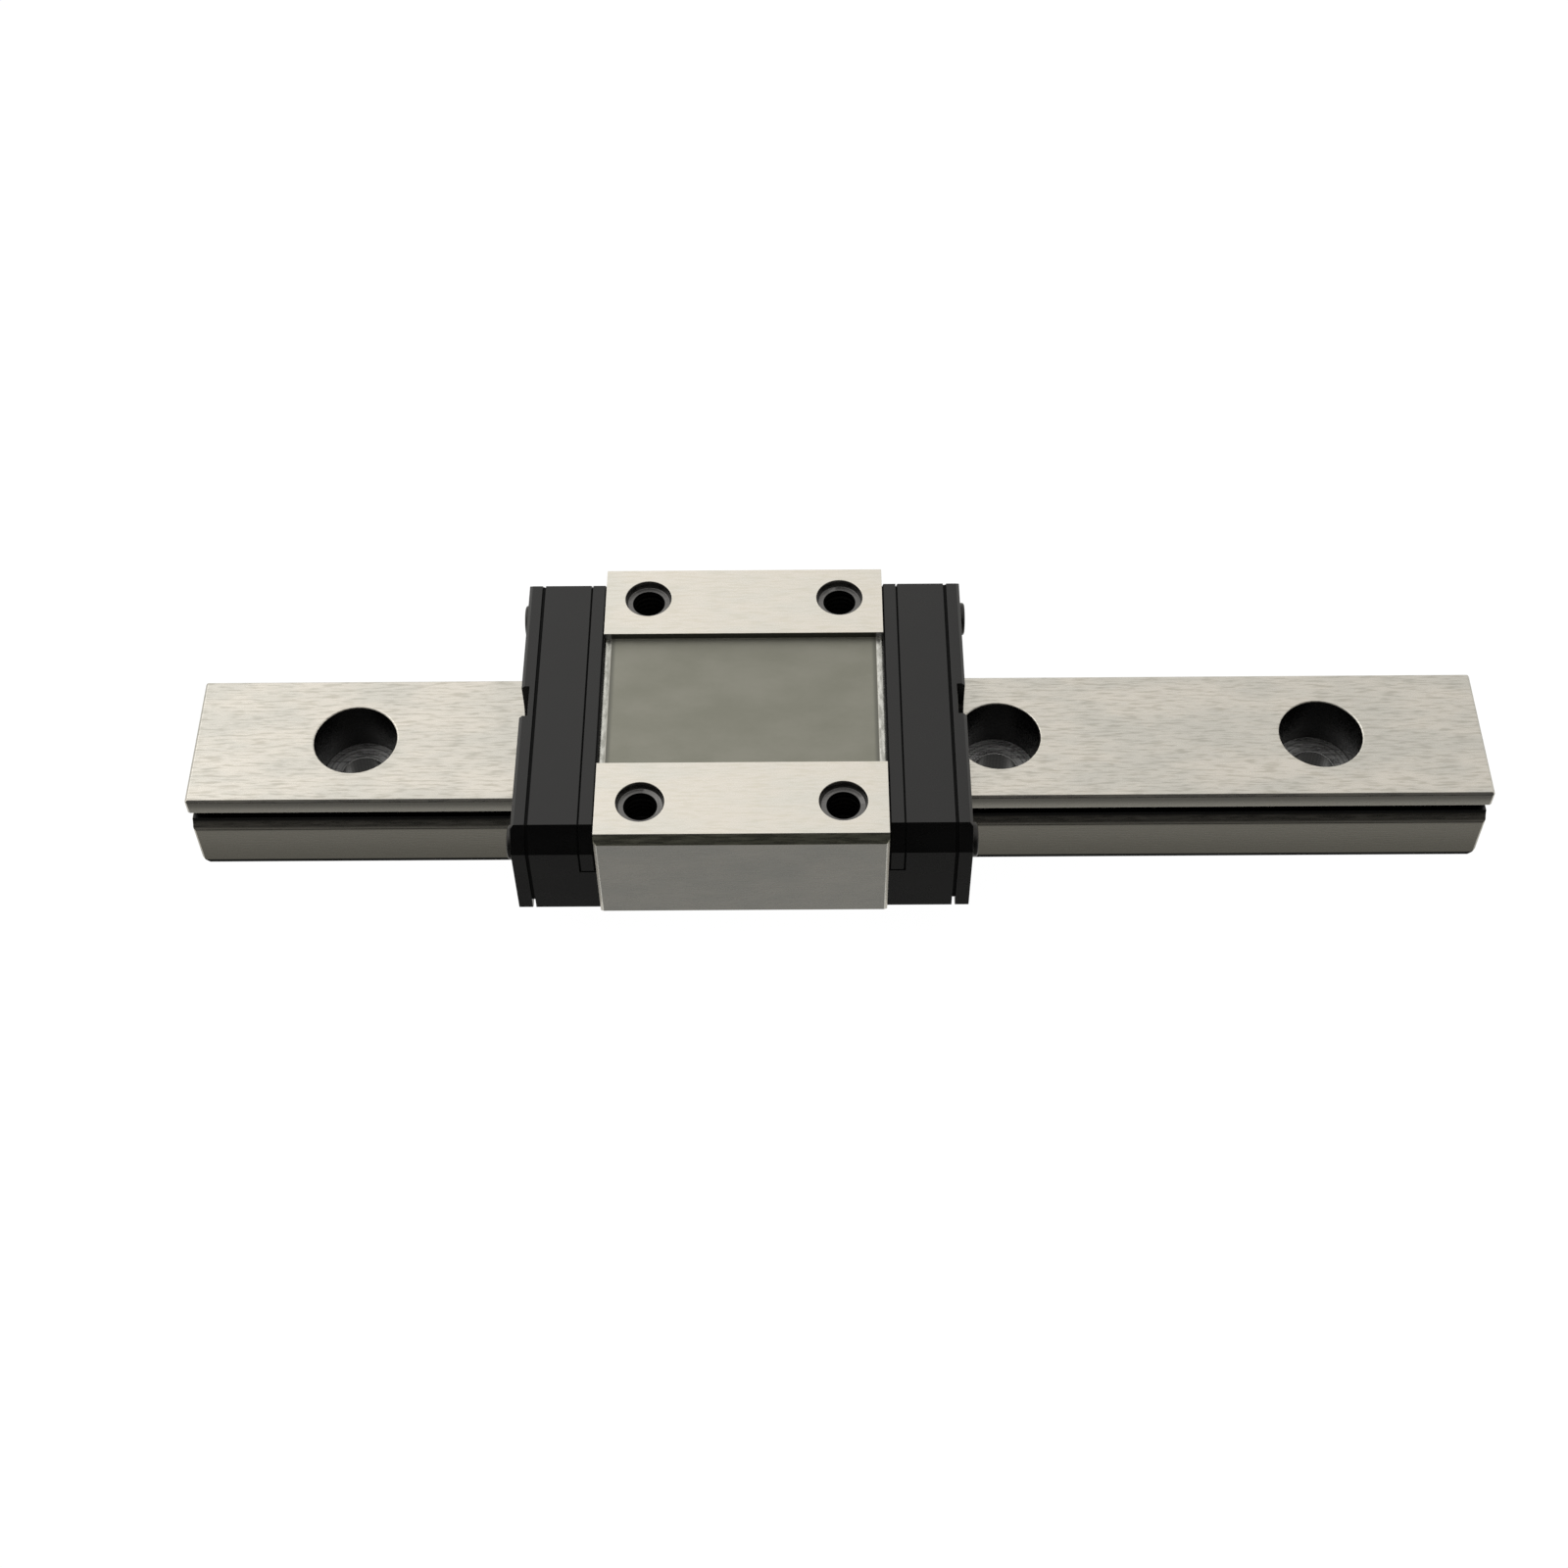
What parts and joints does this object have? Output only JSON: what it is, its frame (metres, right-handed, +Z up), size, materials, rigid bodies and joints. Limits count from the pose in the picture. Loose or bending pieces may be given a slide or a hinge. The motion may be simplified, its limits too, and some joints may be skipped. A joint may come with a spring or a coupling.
{
  "type": "linear guide carriage",
  "caption": "Short recirculating-ball carriage on a miniature profiled steel rail, with black plastic ends, end seals, threaded mounting holes and counterbored rail holes.",
  "frame": {"origin": "middle of the rail's underside", "axes": "+X along the rail, +Y across it, +Z up from the surface that the rail is bolted to"},
  "size_m": [0.1, 0.027, 0.013],
  "materials": {
    "rail_steel": "ground along the rail, fine streaks",
    "block_steel": "ground lands and sides, matte machined recess",
    "black_plastic": "fine moulded satin",
    "seal_rubber": "soft matte",
    "black_screw": "black oxide on steel",
    "natural_plastic": "natural moulded plastic",
    "spring_wire": "drawn stainless wire",
    "ball_steel": "polished bearing ball"
  },
  "bodies": {
    "guide_rail": {"rail": "rail_steel"},
    "carriage": {"carriage_block": "block_steel", "left_return_guide": "black_plastic", "right_return_guide": "black_plastic", "left_end_cap": "black_plastic", "right_end_cap": "black_plastic", "left_seal_plate": "black_plastic", "right_seal_plate": "black_plastic", "left_seal_lip": "seal_rubber", "right_seal_lip": "seal_rubber", "left_end_screws": "black_screw", "right_end_screws": "black_screw", "front_return_tube": "natural_plastic", "rear_return_tube": "natural_plastic", "front_retainer_wire": "spring_wire", "rear_retainer_wire": "spring_wire", "front_loaded_balls": "ball_steel", "rear_loaded_balls": "ball_steel", "front_return_balls": "ball_steel", "rear_return_balls": "ball_steel", "left_turn_balls": "ball_steel", "right_turn_balls": "ball_steel"}
  },
  "joints": [
    {"name": "carriage_slide", "type": "slide", "parent": "guide_rail", "child": "carriage", "axis": [1, 0, 0], "range_m": [-0.0251, 0.0396]}
  ]
}
